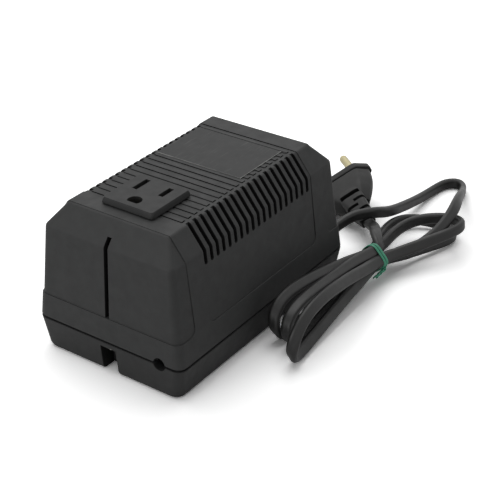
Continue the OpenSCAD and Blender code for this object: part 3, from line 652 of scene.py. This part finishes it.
# Rays start this far off the surface
RAY_START = 10 * SEAM
BEVEL_SEGMENTS = 2
BEVEL_PROFILE = 0.5
# A bevel is at fault where it leaves the surface by more than this share of its width
BEVEL_FAULT = 0.6
BEVEL_CLEAR = 1
FACE_WEIGHT = 100
# Widths of the soft edges
COVER_EDGE = 0.16
TRAY_EDGE = 0.22
OUTLET_EDGE = 0.09


def within(point, box):
    low, high = box
    return all(low[k] <= point[k] / MM <= high[k] for k in range(3))


def outer_edges(bm, tree, kept):
    """Sharp edges that stand out and are open to the outside, apart from those in a box that is kept."""
    found = []
    for edge in bm.edges:
        if kept and all(within(v.co, kept) for v in edge.verts):
            continue
        if edge.calc_face_angle_signed(0) > SHARP:
            middle = (edge.verts[0].co + edge.verts[1].co) / 2
            away = (edge.link_faces[0].normal + edge.link_faces[1].normal).normalized()
            if tree.ray_cast(middle + away * (RAY_START * MM), away)[0] is None:
                found.append(edge)
    return found


def round_edges(bm, width, kept):
    """Rounds the outer edges; the few that can't be rounded cleanly stay sharp."""
    tree = BVHTree.FromBMesh(bm)
    edges = [(e.index, [v.co.copy() for v in e.verts]) for e in outer_edges(bm, tree, kept)]
    faults = [None]
    while faults:
        trial = bm.copy()
        trial.edges.ensure_lookup_table()
        bmesh.ops.bevel(
            trial,
            geom=[trial.edges[i] for i, _ in edges],
            offset=width * MM,
            offset_type="OFFSET",
            segments=BEVEL_SEGMENTS,
            profile=BEVEL_PROFILE,
            affect="EDGES",
            miter_outer="ARC",
            loop_slide=True,
        )
        faults = [v for v in trial.verts if tree.find_nearest(v.co)[3] > BEVEL_FAULT * width * MM]
        near = [n.co.copy() for v in faults for n in [v] + [e.other_vert(v) for e in v.link_edges]]
        edges = [
            (i, ends) for i, ends in edges
            if not any((p - n).length < BEVEL_CLEAR * MM for p in ends for n in near)
        ]
        if faults:
            trial.free()
    bm.free()
    return trial


def soften(node, name, width, cutter=None, kept=None):
    """A copy of a CAD node with soft edges and any fine cuts, which stands for the node."""
    bm = bmesh.new()
    bm.from_mesh(nodes[node].data)
    bmesh.ops.remove_doubles(bm, verts=bm.verts, dist=SEAM * MM)
    piece = add_object(name, bm)
    if cutter:
        join(piece, add_object("cutter", cutter), "DIFFERENCE")
    bm = bmesh.new()
    bm.from_mesh(piece.data)
    bmesh.ops.remove_doubles(bm, verts=bm.verts, dist=SEAM * MM)
    bmesh.ops.dissolve_limit(bm, angle_limit=LEVEL, verts=bm.verts, edges=bm.edges)
    bm = round_edges(bm, width, kept)
    bm.to_mesh(piece.data)
    bm.free()
    piece.data.shade_smooth()
    piece.data.set_sharp_from_angle(angle=SHARP)
    normals = piece.modifiers.new("normals", "WEIGHTED_NORMAL")
    normals.keep_sharp = True
    normals.weight = FACE_WEIGHT
    apply_modifiers(piece)
    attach(piece, "root")
    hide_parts(node)
    return piece


# Fine cuts: grooves on the roof, upper ends of the left vents, joint above the tray, gap at the outlet

ROOF_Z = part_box("cover")[1][2] / MM
ROOF_DEPTH = 0.25
# The roof's ribbed panel, whose edges stay sharp
PANEL_HALF_WIDTH = 25
PANEL_HALF_LENGTH = 42
# Ribs, and the vents beside them, are counted from the middle of the roof
RIB_PITCH = 4
RIB_HALF_WIDTH = 1
RIB_HALF_LENGTH = 23
RIB_LAST = 9
GROOVE_WIDTH = 0.33
GROOVE_DEPTH = 0.35
GROOVE_LAP = 0.03
# The last rib's front groove lies just behind the label, not under its edge
LAST_GROOVE_SHIFT = 0.66
STRAP_LINE_AT = 38.95
STRAP_LINE_HALF = 24.6
# Upper ends of the left vents on the roof: their reach in x, half width and depth
NOTCH_REACH = (-28, -23.7)
NOTCH_HALF_WIDTH = 0.95
NOTCH_DEPTH = 3
ARC_STEPS = 8
# Rings cut round the foot of a piece: its corner radius, the height and the depth of the cut
JOINT_RING = (5.5, 0.8, 1.8)
FACE_RING = (1.2, 0.45, 0.8)
RING_MARGIN = 2
# Cutters run past the surface by this
CUT_PAST = 1


def add_roof_cutter(bm, outline, depth):
    """A block with this outline that cuts into the roof from above."""
    heights = (ROOF_Z - depth, ROOF_Z + CUT_PAST)
    skin(bm, [[Vector((x, y, z)) * MM for x, y in outline] for z in heights])


def add_roof_grooves(bm):
    """A groove along the front and both ends of each rib, and one along the rear strap."""
    inner = RIB_HALF_LENGTH - GROOVE_LAP
    outer = RIB_HALF_LENGTH + GROOVE_WIDTH
    outlines = []
    for i in range(-RIB_LAST, RIB_LAST + 1):
        front = RIB_PITCH * i - RIB_HALF_WIDTH
        rear = front + 2 * RIB_HALF_WIDTH
        if i == RIB_LAST:
            front += LAST_GROOVE_SHIFT
        right = [
            (outer, front - GROOVE_WIDTH), (outer, rear),
            (inner, rear), (inner, front + GROOVE_LAP),
        ]
        outlines.append(right + [(-x, y) for x, y in right[::-1]])
    strap_front = STRAP_LINE_AT - GROOVE_WIDTH
    outlines.append(rectangle(-STRAP_LINE_HALF, STRAP_LINE_HALF, strap_front, STRAP_LINE_AT))
    for outline in outlines:
        add_roof_cutter(bm, outline, ROOF_DEPTH + GROOVE_DEPTH)


def add_left_notches(bm):
    """The vents' upper ends, which reach a little further onto the roof at its left edge."""
    for i in range(-RIB_LAST, RIB_LAST + 1):
        front, rear = RIB_PITCH * i - NOTCH_HALF_WIDTH, RIB_PITCH * i + NOTCH_HALF_WIDTH
        add_roof_cutter(bm, rectangle(*NOTCH_REACH, front, rear), NOTCH_DEPTH)


def round_box(low, high, radius, grow):
    """Outline of a box with round corners, grown by a margin."""
    points = []
    for k in range(4):
        x = high.x - radius if k in (0, 3) else low.x + radius
        y = high.y - radius if k in (0, 1) else low.y + radius
        for s in range(ARC_STEPS + 1):
            turn = math.pi / 2 * (k + s / ARC_STEPS)
            points.append((x + (radius + grow) * math.cos(turn), y + (radius + grow) * math.sin(turn)))
    return points


def add_foot_ring(bm, node, radius, height, depth):
    """A cutter for a ring round the foot of a node."""
    low, high = (Vector(corner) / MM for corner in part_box(node))
    outer = round_box(low, high, radius, RING_MARGIN)
    inner = round_box(low, high, radius, -depth)
    bottom, top = low.z - CUT_PAST, low.z + height
    rows = []
    for outline, z in ((outer, bottom), (outer, top), (inner, top), (inner, bottom)):
        rows.append([bm.verts.new(Vector((x, y, z)) * MM) for x, y in outline])
    count = len(outer)
    for a, b in zip(rows, rows[1:] + rows[:1]):
        for i in range(count):
            j = (i + 1) % count
            bm.faces.new((a[i], a[j], b[j], b[i]))
    bmesh.ops.recalc_face_normals(bm, faces=bm.faces)


cover_cuts = bmesh.new()
add_roof_grooves(cover_cuts)
add_left_notches(cover_cuts)
add_foot_ring(cover_cuts, "cover", *JOINT_RING)
outlet_cuts = bmesh.new()
add_foot_ring(outlet_cuts, "outlet_face", *FACE_RING)
roof_panel = (
    (-PANEL_HALF_WIDTH, -PANEL_HALF_LENGTH, ROOF_Z - CUT_PAST),
    (PANEL_HALF_WIDTH, PANEL_HALF_LENGTH, ROOF_Z + CUT_PAST),
)
cover = soften("cover", "case_cover", COVER_EDGE, cover_cuts, roof_panel)
tray = soften("base_tray", "case_tray", TRAY_EDGE)
outlet = soften("outlet_face", "outlet_plate", OUTLET_EDGE, outlet_cuts)


# Materials

# Noise mostly stays in this range
NOISE_LOW = 0.3
NOISE_HIGH = 0.7
# How far the roughness of a finish varies both ways
PLASTIC_UNEVEN = 0.06
METAL_UNEVEN = 0.08
# Width of the label's pale edge
FILM_EDGE = 0.35


class Shader:
    """A material with one principled shader, and short ways to add its texture nodes."""

    def __init__(self, name, color, roughness, metallic=0.0, specular=0.5):
        self.material = bpy.data.materials.new(name)
        self.material.use_nodes = True
        self.tree = self.material.node_tree
        self.surface = self.tree.nodes["Principled BSDF"]
        self.surface.inputs["Base Color"].default_value = (*color, 1)
        self.surface.inputs["Roughness"].default_value = roughness
        self.surface.inputs["Metallic"].default_value = metallic
        self.surface.inputs["Specular IOR Level"].default_value = specular
        self.place = self.node("ShaderNodeTexCoord").outputs["Object"]

    def node(self, kind):
        return self.tree.nodes.new(kind)

    def link(self, output, socket):
        self.tree.links.new(output, socket)

    def noise(self, size, detail=2.0, stretch=None):
        """Noise whose features are about size millimetres across."""
        node = self.node("ShaderNodeTexNoise")
        node.inputs["Scale"].default_value = 1 / (size * MM)
        node.inputs["Detail"].default_value = detail
        place = self.place
        if stretch:
            mapping = self.node("ShaderNodeMapping")
            mapping.inputs["Scale"].default_value = stretch
            self.link(place, mapping.inputs["Vector"])
            place = mapping.outputs["Vector"]
        self.link(place, node.inputs["Vector"])
        return node.outputs["Fac"]

    def ramp(self, factor, stops):
        node = self.node("ShaderNodeValToRGB")
        elements = node.color_ramp.elements
        while len(elements) < len(stops):
            elements.new(0.5)
        for element, (position, color) in zip(elements, stops):
            element.position = position
            element.color = (*color, 1)
        self.link(factor, node.inputs["Fac"])
        return node.outputs["Color"]

    def spread(self, factor, low, high, start=NOISE_LOW, end=NOISE_HIGH):
        """The factor from start to end stretched from low to high."""
        node = self.node("ShaderNodeMapRange")
        for key, value in (("From Min", start), ("From Max", end), ("To Min", low), ("To Max", high)):
            node.inputs[key].default_value = value
        self.link(factor, node.inputs["Value"])
        return node.outputs["Result"]

    def combine(self, operation, a, b):
        node = self.node("ShaderNodeMath")
        node.operation = operation
        self.link(a, node.inputs[0])
        self.link(b, node.inputs[1])
        return node.outputs["Value"]

    def bump(self, height, depth):
        """Bump of a height in millimetres, on top of what is bumped already."""
        node = self.node("ShaderNodeBump")
        node.inputs["Distance"].default_value = depth * MM
        node.inputs["Strength"].default_value = 1
        self.link(height, node.inputs["Height"])
        normal = self.surface.inputs["Normal"]
        if normal.is_linked:
            self.link(normal.links[0].from_socket, node.inputs["Normal"])
        self.link(node.outputs["Normal"], normal)

    def vary(self, color, amount, size, detail):
        """Slow variation of a colour by a share of itself."""
        dark = [c * (1 - amount) for c in color]
        light = [c * (1 + amount) for c in color]
        self.link(
            self.ramp(self.noise(size, detail), [(NOISE_LOW, dark), (NOISE_HIGH, light)]),
            self.surface.inputs["Base Color"],
        )

    def rough(self, low, high, size, detail):
        """Roughness that varies between two values."""
        roughness = self.spread(self.noise(size, detail), low, high)
        self.link(roughness, self.surface.inputs["Roughness"])


def plastic(name, color, roughness, grain=0.45, depth=0.012, amount=0.08, specular=0.35):
    """Moulded plastic with a fine eroded grain."""
    shader = Shader(name, color, roughness, specular=specular)
    shader.vary(color, amount, size=4, detail=6)
    shader.rough(roughness - PLASTIC_UNEVEN, roughness + PLASTIC_UNEVEN, size=5, detail=4)
    shader.bump(shader.noise(grain), depth)
    return shader.material


def metal(name, color, roughness):
    """Metal with a finely uneven surface."""
    shader = Shader(name, color, roughness, metallic=1.0)
    shader.vary(color, amount=0.08, size=3, detail=3)
    shader.rough(roughness - METAL_UNEVEN, roughness + METAL_UNEVEN, size=0.4, detail=3)
    shader.bump(shader.noise(size=0.3), depth=0.004)
    return shader.material


def film(name, color, edge):
    """The label's dark film, with a pale cut edge at its front and right side and faint scuffs."""
    low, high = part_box("rating_label")
    shader = Shader(name, color, roughness=0.5, specular=0.2)
    axes = shader.node("ShaderNodeSeparateXYZ")
    shader.link(shader.place, axes.inputs["Vector"])
    across, along = axes.outputs["X"], axes.outputs["Y"]
    front = shader.spread(along, low=0, high=1, start=low[1] + FILM_EDGE * MM, end=low[1])
    right = shader.spread(across, low=0, high=1, start=high[0] - FILM_EDGE * MM, end=high[0])
    fade = shader.spread(across, low=1, high=0.3, start=low[0], end=high[0])
    rim = shader.combine("MAXIMUM", shader.combine("MULTIPLY", front, fade), right)
    rim = shader.combine("MULTIPLY", rim, shader.spread(shader.noise(size=6), low=0.3, high=1))
    streaks = shader.noise(size=0.8, detail=3, stretch=(1, 0.06, 1))
    scuffs = shader.spread(streaks, low=0, high=0.1, start=0.6, end=0.75)
    rim = shader.combine("MAXIMUM", rim, scuffs)
    shader.link(shader.ramp(rim, [(0, color), (1, edge)]), shader.surface.inputs["Base Color"])
    shader.rough(low=0.47, high=0.54, size=5, detail=4)
    shader.bump(shader.noise(size=1.2), depth=0.002)
    return shader.material


def paint(obj, material):
    obj.data.materials.clear()
    obj.data.materials.append(material)


def paint_shade_inside(obj, material):
    """Painted shade: a near-black finish for the faces that look at another wall of the same piece, such
    as the walls of the vents, holes and joint, where shade falls.
    """
    mesh = obj.data
    mesh.materials.append(material)
    mesh.calc_loop_triangles()
    points = [v.co for v in mesh.vertices]
    tree = BVHTree.FromPolygons(points, [t.vertices[:] for t in mesh.loop_triangles])
    # Each face is tested at its largest triangle, so the point is on the face
    largest = {}
    for triangle in mesh.loop_triangles:
        face = triangle.polygon_index
        if face not in largest or triangle.area > largest[face].area:
            largest[face] = triangle
    for face, triangle in largest.items():
        middle = sum((points[v] for v in triangle.vertices), Vector()) / 3
        if tree.ray_cast(middle + triangle.normal * (RAY_START * MM), triangle.normal)[0]:
            mesh.polygons[face].material_index = 1


case_plastic = plastic("case_plastic", (0.021, 0.0214, 0.0214), 0.6, depth=0.018, specular=0.3)
tray_plastic = plastic("tray_plastic", (0.0172, 0.0174, 0.0174), 0.6, depth=0.018, specular=0.3)
outlet_plastic = plastic("outlet_plastic", (0.0205, 0.0208, 0.0208), 0.55, depth=0.005, specular=0.22)
flex_pvc = plastic("flex_pvc", (0.0098, 0.0098, 0.0096), 0.44, grain=0.8, depth=0.006, specular=0.38)
plug_pvc = plastic("plug_pvc", (0.0112, 0.0112, 0.0109), 0.5, depth=0.008, specular=0.25)
label_film = film("label_film", (0.021, 0.0215, 0.0215), (0.34, 0.34, 0.33))
# Painted shade: near-black plastic that stands in for the shade on walls inside vents, holes and joints
painted_shade_plastic = plastic("painted_shade_plastic", (0.006, 0.006, 0.006), 0.7, specular=0.15)
tie_plastic = plastic(
    "tie_plastic", (0.042, 0.25, 0.15), 0.4, grain=0.5, depth=0.01, amount=0.2, specular=0.5,
)
dark_plastic = plastic("dark_plastic", (0.02, 0.02, 0.02), 0.5)
pale_plastic = plastic("pale_plastic", (0.68, 0.66, 0.58), 0.45)
steel = metal("screw_steel", (0.8, 0.78, 0.74), 0.25)
nickel = metal("pin_metal", (0.48, 0.43, 0.26), 0.35)
brass = metal("contact_brass", (0.72, 0.5, 0.2), 0.35)
# Copper, lamination steel and tape inside the case: partly their own colours and partly painted shade,
# made darker than they are so that the inside stays dark through the vents
copper = metal("winding_copper", (0.45, 0.17, 0.07), 0.4)
lamination = metal("lamination_steel", (0.12, 0.12, 0.125), 0.55)
tape = plastic("tape_film", (0.1, 0.06, 0.012), 0.4)
core_wire = plastic("core_insulation", (0.12, 0.07, 0.05), 0.45)
input_wire = plastic("input_insulation", (0.35, 0.05, 0.04), 0.45)
output_wire = plastic("output_insulation", (0.3, 0.3, 0.3), 0.45)

paint(cover, case_plastic)
# Walls of the cover and tray that face other walls get painted shade
paint_shade_inside(cover, painted_shade_plastic)
paint(tray, tray_plastic)
paint_shade_inside(tray, painted_shade_plastic)
paint(outlet, outlet_plastic)
paint(flex, flex_pvc)
paint(plug, plug_pvc)
paint(tie, tie_plastic)

NODE_FINISH = {
    "rating_label": label_film,
    "case_screws": steel,
    "outlet_housing": dark_plastic,
    "line_contact": brass,
    "neutral_contact": brass,
    "ground_contact": brass,
    "core_e_stack": lamination,
    "core_i_stack": lamination,
    "coil_former": dark_plastic,
    "coil_winding": copper,
    "coil_tape": tape,
    "core_strap": lamination,
    "core_screws": steel,
    "thermal_cutout": steel,
    "flex_clamp": dark_plastic,
    "flex_clamp_screws": steel,
    "flex_cores": core_wire,
    "crimp_caps": pale_plastic,
    "input_leads": input_wire,
    "output_leads": output_wire,
    "plug_pins": nickel,
}
for name, material in NODE_FINISH.items():
    paint(nodes[name], material)


# White stage and soft studio light

# Floor in metres: size, white that lights the object, white as seen near and far, and near and far
FLOOR_SIZE = 6
FLOOR_WHITE = 0.88
FLOOR_SEEN = 1.5
FLOOR_SEEN_FAR = 4
FLOOR_FAR = (0.25, 1.2)
SKY_LIGHT = 0.36
# Softboxes: place and size in metres, and power in watts
SOFTBOXES = {
    "softbox_above": (Vector((-0.28, 0.2, 1)), 1.1, 7.6),
    "softbox_front": (Vector((-0.25, -1.1, 0.3)), 0.8, 4),
}


def seen_directly(tree):
    """1 for camera, glossy and transmission rays, and 0 for the diffuse rays that light the object."""
    path = tree.nodes.new("ShaderNodeLightPath")
    total = path.outputs["Is Camera Ray"]
    for ray in ("Is Glossy Ray", "Is Transmission Ray"):
        either = tree.nodes.new("ShaderNodeMath")
        either.operation = "MAXIMUM"
        tree.links.new(total, either.inputs[0])
        tree.links.new(path.outputs[ray], either.inputs[1])
        total = either.outputs[0]
    return total


def add_floor():
    bm = bmesh.new()
    bmesh.ops.create_grid(bm, x_segments=1, y_segments=1, size=FLOOR_SIZE / 2)
    floor = add_object("floor", bm)
    floor.location.z = cad_box[0][2]
    material = bpy.data.materials.new("floor_white")
    material.use_nodes = True
    tree = material.node_tree
    tree.nodes.clear()
    output = tree.nodes.new("ShaderNodeOutputMaterial")
    diffuse = tree.nodes.new("ShaderNodeBsdfDiffuse")
    white = tree.nodes.new("ShaderNodeMapRange")
    white.inputs["To Min"].default_value = FLOOR_WHITE
    path = tree.nodes.new("ShaderNodeLightPath")
    tree.links.new(path.outputs["Is Camera Ray"], white.inputs["Value"])
    # The floor is seen whiter far from the object, where the softboxes don't reach
    place = tree.nodes.new("ShaderNodeTexCoord")
    distance = tree.nodes.new("ShaderNodeVectorMath")
    distance.operation = "LENGTH"
    far = tree.nodes.new("ShaderNodeMapRange")
    far.inputs["From Min"].default_value = FLOOR_FAR[0]
    far.inputs["From Max"].default_value = FLOOR_FAR[1]
    far.inputs["To Min"].default_value = FLOOR_SEEN
    far.inputs["To Max"].default_value = FLOOR_SEEN_FAR
    tree.links.new(place.outputs["Object"], distance.inputs[0])
    tree.links.new(distance.outputs["Value"], far.inputs["Value"])
    tree.links.new(far.outputs["Result"], white.inputs["To Max"])
    tree.links.new(white.outputs["Result"], diffuse.inputs["Color"])
    tree.links.new(diffuse.outputs[0], output.inputs["Surface"])
    paint(floor, material)


def add_world():
    world = bpy.data.worlds.new("studio")
    scene.world = world
    world.use_nodes = True
    tree = world.node_tree
    background = tree.nodes["Background"]
    strength = tree.nodes.new("ShaderNodeMapRange")
    strength.inputs["To Min"].default_value = SKY_LIGHT
    strength.inputs["To Max"].default_value = 1
    tree.links.new(seen_directly(tree), strength.inputs["Value"])
    background.inputs["Color"].default_value = (1, 1, 1, 1)
    tree.links.new(strength.outputs["Result"], background.inputs["Strength"])


def add_softbox(name, place, size, power):
    data = bpy.data.lights.new(name, "AREA")
    data.size = size
    data.energy = power
    softbox = bpy.data.objects.new(name, data)
    softbox.location = place
    softbox.rotation_euler = (-place).to_track_quat("-Z", "Y").to_euler()
    scene.collection.objects.link(softbox)


add_floor()
add_world()
for name, values in SOFTBOXES.items():
    add_softbox(name, *values)
